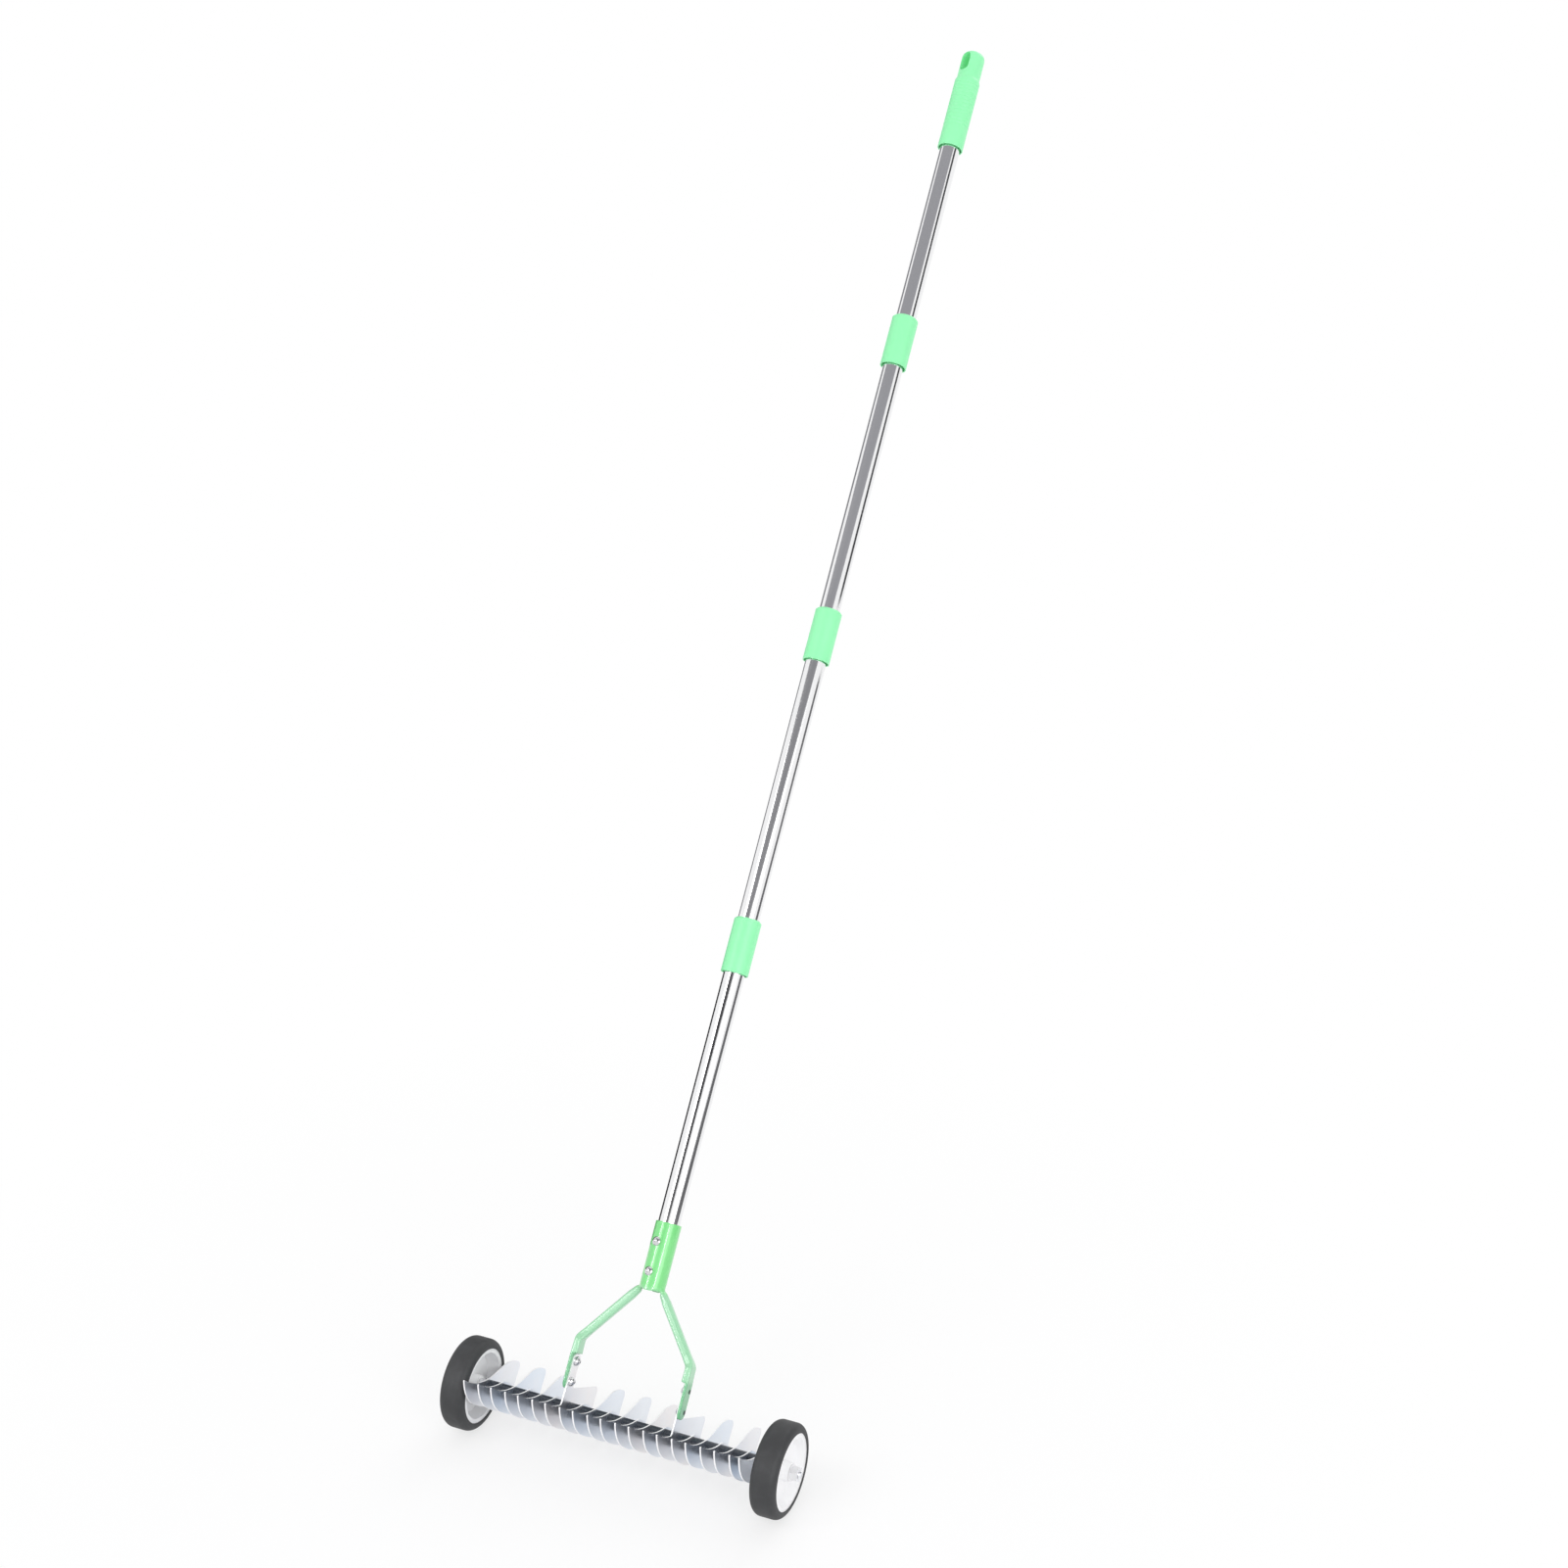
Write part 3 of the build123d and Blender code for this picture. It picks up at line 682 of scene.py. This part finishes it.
class DETHATCHER_OT_axle(bpy.types.Operator):
    """Replaces the plain axle with one whose ends are threaded"""
    bl_idname = "dethatcher.axle"
    bl_label = "Axle"

    def execute(self, context):
        settings = context.scene.dethatcher_thread
        low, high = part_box("axle_rod")
        radius, middle = (high[2] - low[2]) / 2, (high[2] + low[2]) / 2
        steps, rings_per_turn = 24, 10
        count = round(settings.threaded / settings.pitch * rings_per_turn)
        inset = [settings.threaded * i / count for i in range(count + 1)]
        places = [high[0] - d for d in inset] + [low[0] + d for d in reversed(inset)]
        plain_from = settings.threaded * 0.98       # the innermost rings have full thickness
        mesh = bmesh.new()
        rings = []
        for x in places:
            tip = min(high[0] - x, x - low[0])
            ring = []
            for i in range(steps):
                turn = (x / settings.pitch - i / steps) % 1
                cut = settings.depth * abs(2 * turn - 1) if tip < plain_from else 0
                r = min(radius - cut, radius - settings.point + tip)
                angle = 2 * math.pi * i / steps
                ring.append(mesh.verts.new((x, r * math.cos(angle), middle + r * math.sin(angle))))
            rings.append(ring)
        bridge(mesh, rings)
        mesh.faces.new(rings[0])
        mesh.faces.new(reversed(rings[-1]))
        data = finish_mesh("axle_threaded", mesh)
        smooth_except_corners(data, 50)
        steel = zinc_plated_steel(context.scene.dethatcher_colours, roughness=0.25)
        rod = new_object("axle_threaded", data, steel)
        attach(rod, "frame")
        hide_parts("axle_rod")
        return {"FINISHED"}


class DETHATCHER_OT_wheels(bpy.types.Operator):
    """Finishes the wheels: white rims and rubber tyres"""
    bl_idname = "dethatcher.wheels"
    bl_label = "Wheels"

    def execute(self, context):
        colours = context.scene.dethatcher_colours
        dress(white_polypropylene(colours.rim), "wheel_rim")
        dress(tyre_rubber(colours.tyre), "tyre")
        return {"FINISHED"}


class DETHATCHER_OT_fork(bpy.types.Operator):
    """Builds the fork as one painted weldment in place of its plain parts, and its screws"""
    bl_idname = "dethatcher.fork"
    bl_label = "Fork"

    def execute(self, context):
        settings = context.scene.dethatcher_fork
        colours = context.scene.dethatcher_colours
        mesh = bmesh.new()
        self.sleeve(mesh, settings)
        for side in (-1, 1):
            self.leg(mesh, settings, side)
        data = finish_mesh("fork_painted", mesh)
        fork = new_object("fork_painted", data, mint_enamel(colours, settings))
        skin = fork.modifiers.new("one skin", "REMESH")
        skin.mode, skin.voxel_size = "VOXEL", settings.grain
        shown = fork.evaluated_get(context.evaluated_depsgraph_get())
        fork.data = bpy.data.meshes.new_from_object(shown)
        fork.modifiers.clear()
        self.soften(fork.data, settings)
        fork.data.shade_smooth()
        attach(fork, "frame")
        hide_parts("fork_sleeve", "fork_leg_left", "fork_leg_right")
        self.screws(settings, colours.screw)
        self.screw_ends(colours.screw_end)
        return {"FINISHED"}

    def sleeve(self, mesh, settings):
        """The sleeve as a closed ring."""
        radius, bore = settings.sleeve_radius, settings.sleeve_radius - settings.sleeve_wall
        low, high = settings.sleeve_foot, settings.sleeve_foot + settings.sleeve_length
        steps = 96
        rings = []
        for size, up in ((bore, low), (radius, low), (radius, high), (bore, high)):
            rings.append([
                mesh.verts.new(spot(
                    size * math.cos(2 * math.pi * i / steps),
                    HANDLE_REAR + size * math.sin(2 * math.pi * i / steps), up,
                )) for i in range(steps)
            ])
        bridge(mesh, rings + rings[:1])

    def leg(self, mesh, settings, side):
        """One leg: a flat tab, the pressed bar, the bend and the square bar up to the sleeve."""
        tab, bar, wide, pressed = settings.tab, settings.bar, settings.wide, settings.pressed
        tab_middle, bar_middle = TAB_FACE - tab / 2, TAB_FACE - pressed / 2
        low, _ = extent("fork_leg_right", AXLE, HANDLE_AXIS)
        tab_corner = 7 * MM             # rounding of the tab's outline at its foot
        tab_edge, step_edge = 0.8 * MM, 1.2 * MM        # rounding along the bar's edges
        pressed_edge, bar_edge, end_edge = 2.2 * MM, 2.6 * MM, 2.4 * MM
        step_down, step_up = 0.6 * MM, 0.2 * MM         # the step from the tab out to the bar
        bend_length = 3.5 * MM          # the bend begins and ends this far from its corner
        lead_in, lead_out = 5 * MM, 7 * MM      # wide bar below the bend, square bar above it
        shrink, shrink_length = 0.8, 2 * MM     # the end's share of the bar's size, its length
        upward = Vector((0, 1))
        # each station: centre in the plane of the axle and the handle, heading, two sizes, edge
        stations = []
        for share in (0.0, 0.1, 0.3, 0.6, 1.0):
            inset = tab_corner * (1 - math.sqrt(1 - (1 - share) ** 2))
            foot = Vector((tab_middle, low + tab_corner * share))
            stations.append((foot, upward, tab, wide - 2 * inset, tab_edge))
        shoulder = settings.shoulder
        before_bend = settings.bend - lead_in
        stations += [
            (Vector((tab_middle, shoulder - step_down)), upward, tab, wide, tab_edge),
            (Vector((bar_middle, shoulder + step_up)), upward, pressed, wide, step_edge),
            (Vector((bar_middle, before_bend)), upward, pressed, wide, pressed_edge),
        ]
        top = Vector((settings.leg_reach, settings.leg_top))
        knee = Vector((bar_middle, settings.bend))
        incline = (top - knee).normalized()
        start, end = knee - upward * bend_length, knee + incline * bend_length
        steps = 8
        for i in range(1, steps + 1):
            t = i / steps
            centre = start * (1 - t) ** 2 + knee * 2 * t * (1 - t) + end * t ** 2
            heading = ((knee - start) * (1 - t) + (end - knee) * t).normalized()
            ease = t * t * (3 - 2 * t)
            stations.append((
                centre, heading, pressed + (bar - pressed) * ease,
                wide + (bar + 2 * MM - wide) * ease ** 2,
                pressed_edge + (bar_edge - pressed_edge) * ease,
            ))
        stations += [
            (end + incline * lead_out, incline, bar, bar, bar_edge),
            (top - incline * shrink_length, incline, bar, bar, bar_edge),
            (top, incline, bar * shrink, bar * shrink, end_edge),
        ]
        rings = []
        for centre, heading, across, along, edge in stations:
            rings.append([
                mesh.verts.new(spot(
                    side * (centre.x + heading.y * a), HANDLE_REAR + b, centre.y - heading.x * a,
                ))
                for a, b in rounded_section(across, along, edge)
            ])
        bridge(mesh, rings)
        mesh.faces.new(rings[0])
        mesh.faces.new(reversed(rings[-1]))

    def soften(self, mesh, settings):
        """Rounds the welds as paint does, and brings the sleeve's wall back to its true radius.

        Each pass moves every vertex part of the way to the mean of its neighbours: a few light
        passes over the whole fork, then many at the welds alone."""
        everywhere, passes, light = 4, 80, 0.6
        weld_full, weld_end = 6 * MM, 10 * MM       # full strength this near a weld, none beyond
        above_weld, below_rim, wall_play = 9 * MM, 0.6 * MM, 0.4 * MM
        count = len(mesh.vertices)
        flat = np.empty(count * 3)
        mesh.vertices.foreach_get("co", flat)
        places = flat.reshape(-1, 3)
        pairs = np.empty(len(mesh.edges) * 2, dtype=np.int32)
        mesh.edges.foreach_get("vertices", pairs)
        first, second = pairs.reshape(-1, 2).T
        degree = np.bincount(pairs, minlength=count)[:, None]

        def frame_places():
            away = places - np.array(AXLE)
            return away[:, 0], away @ np.array(REAR) - HANDLE_REAR, away @ np.array(HANDLE_AXIS)

        x, _, up = frame_places()
        joint = np.hypot(np.abs(x) - settings.sleeve_radius, up - settings.sleeve_foot)
        at_weld = np.clip((weld_end - joint) / (weld_end - weld_full), 0, 1)[:, None]
        for step in range(passes):
            total = np.zeros_like(places)
            np.add.at(total, first, places[second])
            np.add.at(total, second, places[first])
            pull = np.maximum(at_weld, light) if step < everywhere else at_weld
            places += (total / degree - places) * 0.5 * pull
        x, rear, up = frame_places()
        radius = np.hypot(x, rear)
        on_wall = (
            (np.abs(radius - settings.sleeve_radius) < wall_play)
            & (up > settings.sleeve_foot + above_weld)
            & (up < settings.sleeve_foot + settings.sleeve_length - below_rim)
        )
        grow = np.where(on_wall, settings.sleeve_radius / np.maximum(radius, 1e-9), 1.0) - 1
        places += grow[:, None] * (
            x[:, None] * np.array(RIGHT) + rear[:, None] * np.array(REAR)
        )
        mesh.vertices.foreach_set("co", places.ravel())
        mesh.update()

    def screws(self, settings, colour):
        """The button screws of the legs and the sleeve, with smooth heads and round sockets."""
        inner = min(abs(v.co.x) for v in NODES["leg_screws"].data.vertices)
        height = settings.leg_head_height
        short_of_face = 0.2 * MM
        seats = [
            (Vector((side * (inner + height), centre.y, centre.z)), RIGHT * -side)
            for side, centre in leg_screw_places()
        ]
        self.button_screws("leg_screws_bright", "leg_screws", colour, seats,
                           settings.leg_head, height, TAB_FACE - inner - height - short_of_face)
        turn, height = settings.screw_turn, settings.sleeve_head_height
        outward = RIGHT * math.sin(turn) - REAR * math.cos(turn)
        low, high = extent("sleeve_screws", AXLE, HANDLE_AXIS)
        tail, crown = extent("sleeve_screws", HANDLE_POINT, outward)
        margin = settings.sleeve_head_node
        seats = [
            (spot(0, HANDLE_REAR, up) + outward * (crown - height), outward)
            for up in (low + margin, high - margin)
        ]
        self.button_screws("sleeve_screws_bright", "sleeve_screws", colour, seats,
                           settings.sleeve_head, height, crown - tail - height)

    def button_screws(self, name, node, colour, seats, radius, height, shank):
        """Screws of one kind as one piece: a dome over a short straight rim, and the shank."""
        rise = 0.75 * height            # the dome's share of the head
        ball = (radius ** 2 + rise ** 2) / (2 * rise)
        socket, recess, body = 1.2 * MM, 1.0 * MM, 2.5 * MM
        outline = [(0, height - recess), (socket * 0.9, height - recess)]
        outline += arc((0, height - ball), ball, 90 - math.degrees(math.asin(socket / ball)),
                       90 - math.degrees(math.asin(radius / ball)), 12)
        outline += [(radius, 0), (body, 0), (body, -shank), (0, -shank)]
        joined = bmesh.new()
        for base, axis in seats:
            joined.from_mesh(lathe(name, outline, base, axis, 48))
        data = finish_mesh(name, joined)
        smooth_except_corners(data, 35)
        piece = new_object(name, data, bright_steel(colour))
        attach(piece, "frame")
        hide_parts(node)

    def screw_ends(self, colour):
        """The ends of the leg screws, just proud of the tabs, drawn dark."""
        radius, flat = 2.35 * MM, 2.0 * MM
        sunk, rim, shoulder, middle = -0.2 * MM, 0.12 * MM, 0.4 * MM, 0.45 * MM
        outline = [(0, sunk), (radius, sunk), (radius, rim), (flat, shoulder), (0, middle)]
        material = dark_end_steel(colour)
        for number, (side, centre) in enumerate(leg_screw_places()):
            base = Vector((side * TAB_FACE, centre.y, centre.z))
            name = f"leg_screw_end_{number + 1}"
            piece = new_object(name, lathe(name, outline, base, RIGHT * side, 24), material)
            smooth_except_corners(piece.data, 40)
            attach(piece, "frame")


class DETHATCHER_OT_handle(bpy.types.Operator):
    """Finishes the tubes, the couplers, what is inside them, and the grip"""
    bl_idname = "dethatcher.handle"
    bl_label = "Handle"

    def execute(self, context):
        colours = context.scene.dethatcher_colours
        dress(stainless_tube(colours.tube), "tube_")
        plastic = mint_polypropylene(colours.plastic)
        dress(plastic, "coupler_")
        dress(natural_nylon(colours.thread), "screw_plug", "thread_socket")
        self.grip(context.scene.dethatcher_grip, plastic)
        return {"FINISHED"}

    def grip(self, settings, plastic):
        """The grip with its grooves, in place of the plain one."""
        low, high = extent("grip", HANDLE_POINT, HANDLE_AXIS)
        length = high - low
        skin, waist, head, crown = settings.skin, settings.waist, settings.head, settings.crown
        recess, lip = skin - settings.skirt_wall, 0.3 * MM
        outline = [
            (0, length - settings.floor), (settings.bore, length - settings.floor),
            (settings.bore, settings.skirt_depth), (recess, settings.skirt_depth),
            *arc((recess + lip, lip), lip, 180, 270, 3),
            *arc((skin - lip, lip), lip, 270, 360, 3),
        ]
        steps = 8
        groove_share = 0.55             # of the pitch; the rest stands as a rib
        for k in range(settings.grooves):
            middle = settings.groove_start + k * settings.groove_pitch
            for i in range(steps + 1):
                across = (i / steps - 0.5) * settings.groove_pitch * groove_share
                dip = settings.groove_depth * (0.5 + 0.5 * math.cos(math.pi * (2 * i / steps - 1)))
                outline.append((skin - dip, middle + across))
        neck, swell = 85 * MM, 97 * MM  # heights of the narrowest place and of the full head
        begin = settings.groove_start + settings.grooves * settings.groove_pitch
        for start, end, from_radius, to_radius in (
            (begin, neck, skin, waist), (neck, swell, waist, head),
        ):
            for i in range(1, steps + 1):
                ease = 0.5 - 0.5 * math.cos(math.pi * i / steps)
                outline.append((
                    from_radius + (to_radius - from_radius) * ease,
                    start + (end - start) * i / steps,
                ))
        outline += arc((head - crown, length - crown), crown, 0, 90, 10) + [(0, length)]
        base = HANDLE_POINT + HANDLE_AXIS * low
        body = lathe("grip_ribbed", outline, base, HANDLE_AXIS, 96)
        made = new_object("grip_ribbed", body, plastic)

        top = base + HANDLE_AXIS * (length - settings.slot_margin)
        cutter = new_object("slot_cutter", self.slot(settings, top), plastic)
        cut = made.modifiers.new("slot", "BOOLEAN")
        cut.operation, cut.solver, cut.object = "DIFFERENCE", "EXACT", cutter
        shown = made.evaluated_get(bpy.context.evaluated_depsgraph_get())
        made.data = bpy.data.meshes.new_from_object(shown)
        made.modifiers.clear()
        bpy.data.objects.remove(cutter)
        smooth_except_corners(made.data, 42)
        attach(made, "frame")
        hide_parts("grip")

    def slot(self, settings, top):
        """The bar that cuts the hanging slot, with round ends, right through below top."""
        half, end, reach = settings.slot_length / 2, settings.slot_width / 2, 20 * MM
        outline = arc((0, half - end), end, 0, 180, 12) + arc((0, end - half), end, 180, 360, 12)
        centre = top - HANDLE_AXIS * half
        turn = settings.slot_turn
        through = RIGHT * math.sin(turn) - REAR * math.cos(turn)
        aside = through.cross(HANDLE_AXIS)
        mesh = bmesh.new()
        rings = [
            [mesh.verts.new(centre + through * depth + aside * a + HANDLE_AXIS * b)
             for a, b in outline]
            for depth in (-reach, reach)
        ]
        mesh.faces.new(rings[0])
        mesh.faces.new(reversed(rings[1]))
        bridge(mesh, rings)
        return finish_mesh("slot_cutter", mesh)


class DETHATCHER_OT_stage(bpy.types.Operator):
    """Adds the floor, the studio light and the camera"""
    bl_idname = "dethatcher.stage"
    bl_label = "Stage"

    def execute(self, context):
        settings = context.scene.dethatcher_stage
        self.floor(settings)
        self.world(context.scene)
        self.lamps(context.scene)
        self.cards()
        self.camera(context.scene, settings)
        context.scene.view_settings.view_transform = "Standard"
        return {"FINISHED"}

    def seen(self, tree):
        """One on the rays that show the surroundings, to the eye, in metal or through plastic."""
        path = add(tree, "ShaderNodeLightPath")
        seen = path.outputs["Is Camera Ray"]
        for ray in ("Is Glossy Ray", "Is Transmission Ray"):
            seen = add(tree, "ShaderNodeMath", {
                0: seen, 1: path.outputs[ray],
            }, operation="MAXIMUM").outputs[0]
        return seen

    def floor(self, settings):
        """White paper. It takes a shadow near the tool and runs out to plain white."""
        half = settings.floor_width / 2
        mesh = bpy.data.meshes.new("floor")
        mesh.from_pydata(
            [(-half, -half, 0), (half, -half, 0), (half, half, 0), (-half, half, 0)],
            [], [(0, 1, 2, 3)],
        )
        material, tree, at = start_material("white paper floor")
        away = add(tree, "ShaderNodeVectorMath", {0: at.outputs["Object"]}, operation="LENGTH")
        glow = add(tree, "ShaderNodeMapRange", {
            "Value": away.outputs["Value"], "From Min": 0.2, "From Max": 0.9,
            "To Min": 0.7, "To Max": 1.0,
        })
        share = add(tree, "ShaderNodeMath", {
            0: glow.outputs[0], 1: self.seen(tree),
        }, operation="MULTIPLY")
        paper = add(tree, "ShaderNodeBsdfPrincipled", {
            "Base Color": linear("#F4F4F5"), "Roughness": 0.9,
        })
        white = add(tree, "ShaderNodeEmission", {"Color": (1, 1, 1, 1), "Strength": 1.0})
        both = add(tree, "ShaderNodeMixShader", {
            0: share.outputs[0], 1: paper.outputs[0], 2: white.outputs[0],
        })
        add(tree, "ShaderNodeOutputMaterial", {"Surface": both.outputs[0]})
        new_object("floor", mesh, material)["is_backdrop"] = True

    def world(self, scene):
        """Plain white surroundings that light the tool a little less than they show."""
        world = bpy.data.worlds.new("studio")
        world.use_nodes = True
        tree = world.node_tree
        tree.nodes.clear()
        strength = add(tree, "ShaderNodeMapRange", {
            "Value": self.seen(tree), "To Min": 0.78, "To Max": 1.0,
        })
        background = add(tree, "ShaderNodeBackground", {
            "Color": (1, 1, 1, 1), "Strength": strength.outputs[0],
        })
        add(tree, "ShaderNodeOutputWorld", {"Surface": background.outputs[0]})
        scene.world = world

    def lamps(self, scene):
        """Three wide round lamps, all turned to the lower handle."""
        target = Vector((0, 0.3, 0.4))
        for name, place, size, power in (
            ("key", (-1.6, -2.2, 3.2), 2.0, 30), ("fill", (2.8, -1.8, 1.9), 2.4, 35),
            ("rim", (0.6, 3.2, 2.6), 1.8, 18),
        ):
            lamp = bpy.data.lights.new(name, "AREA")
            lamp.shape, lamp.size, lamp.energy = "DISK", size, power
            holder = bpy.data.objects.new(name, lamp)
            holder.location = place
            holder.rotation_mode = "QUATERNION"
            holder.rotation_quaternion = (Vector(place) - target).to_track_quat("Z", "Y")
            scene.collection.objects.link(holder)

    def cards(self):
        """Grey flags and narrow strip lights round the handle, seen only in gloss: on a white
        stage they give the polished tubes their lengthwise lines and the enamel its streaks.
        They are placed for this camera, and seen from elsewhere the lines lie differently."""
        steps = 16
        for name, distance, shade, strength, rows in CARDS:
            points, faces = [], []
            for place, start, end in rows:
                for i in range(steps + 1):
                    turn = math.radians(start + (end - start) * i / steps)
                    points.append(
                        spot(0, HANDLE_REAR, place)
                        + (RIGHT * math.sin(turn) - REAR * math.cos(turn)) * distance
                    )
            for row in range(len(rows) - 1):
                for i in range(steps):
                    first = row * (steps + 1) + i
                    faces.append((first, first + 1, first + steps + 2, first + steps + 1))
            mesh = bpy.data.meshes.new(name)
            mesh.from_pydata(points, [], faces)
            material, tree, _ = start_material(name)
            glow = add(tree, "ShaderNodeEmission", {"Color": linear(shade), "Strength": strength})
            add(tree, "ShaderNodeOutputMaterial", {"Surface": glow.outputs[0]})
            card = new_object(name, mesh, material)
            card.visible_camera = card.visible_diffuse = card.visible_shadow = False
            card.visible_transmission = card.visible_volume_scatter = False
            card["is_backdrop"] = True

    def camera(self, scene, settings):
        """The camera, level across, turned round the tool and tilted down by the settings."""
        camera = bpy.data.cameras.new("camera")
        camera.sensor_width, camera.lens = SENSOR_WIDTH, settings.lens
        eye = bpy.data.objects.new("camera", camera)
        azimuth, elevation = settings.camera_azimuth, settings.camera_elevation
        back = Vector((
            math.sin(azimuth) * math.cos(elevation),
            -math.cos(azimuth) * math.cos(elevation),
            math.sin(elevation),
        ))
        eye.location = settings.camera_place
        eye.rotation_mode = "QUATERNION"
        eye.rotation_quaternion = (-back).to_track_quat("-Z", "Y")
        scene.collection.objects.link(eye)
        scene.camera = eye


OPERATORS = (
    DETHATCHER_OT_blades,
    DETHATCHER_OT_axle,
    DETHATCHER_OT_wheels,
    DETHATCHER_OT_fork,
    DETHATCHER_OT_handle,
    DETHATCHER_OT_stage,
)


class DETHATCHER_PT_panel(bpy.types.Panel):
    """Lists the tool's pieces and its stage"""
    bl_idname = "DETHATCHER_PT_panel"
    bl_label = "Dethatcher"
    bl_space_type = "VIEW_3D"
    bl_region_type = "UI"
    bl_category = "Dethatcher"

    def draw(self, context):
        for operator in OPERATORS:
            self.layout.operator(operator.bl_idname)
        for group, settings in SETTINGS.items():
            for name in settings.__annotations__:
                self.layout.prop(getattr(context.scene, group), name)


SETTINGS = {
    "dethatcher_colours": ColourSettings,
    "dethatcher_stage": StageSettings,
    "dethatcher_fork": ForkSettings,
    "dethatcher_grip": GripSettings,
    "dethatcher_thread": ThreadSettings,
}
CLASSES = (*SETTINGS.values(), *OPERATORS, DETHATCHER_PT_panel)


def register():
    """Makes the settings, operators and panel known, and gives the scene its settings."""
    for cls in CLASSES:
        bpy.utils.register_class(cls)
    for group, settings in SETTINGS.items():
        setattr(bpy.types.Scene, group, PointerProperty(type=settings))


def unregister():
    """Takes away what register added."""
    for group in SETTINGS:
        delattr(bpy.types.Scene, group)
    for cls in reversed(CLASSES):
        bpy.utils.unregister_class(cls)


def main():
    """Builds every piece in order."""
    register()
    for operator in OPERATORS:
        group, name = operator.bl_idname.split(".")
        getattr(getattr(bpy.ops, group), name)()
    boxes = {"cad": CAD_BOX, "visual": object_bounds()}
    {name: [list(corner) for corner in box] for name, box in boxes.items()}


if __name__ == "__main__":
    main()
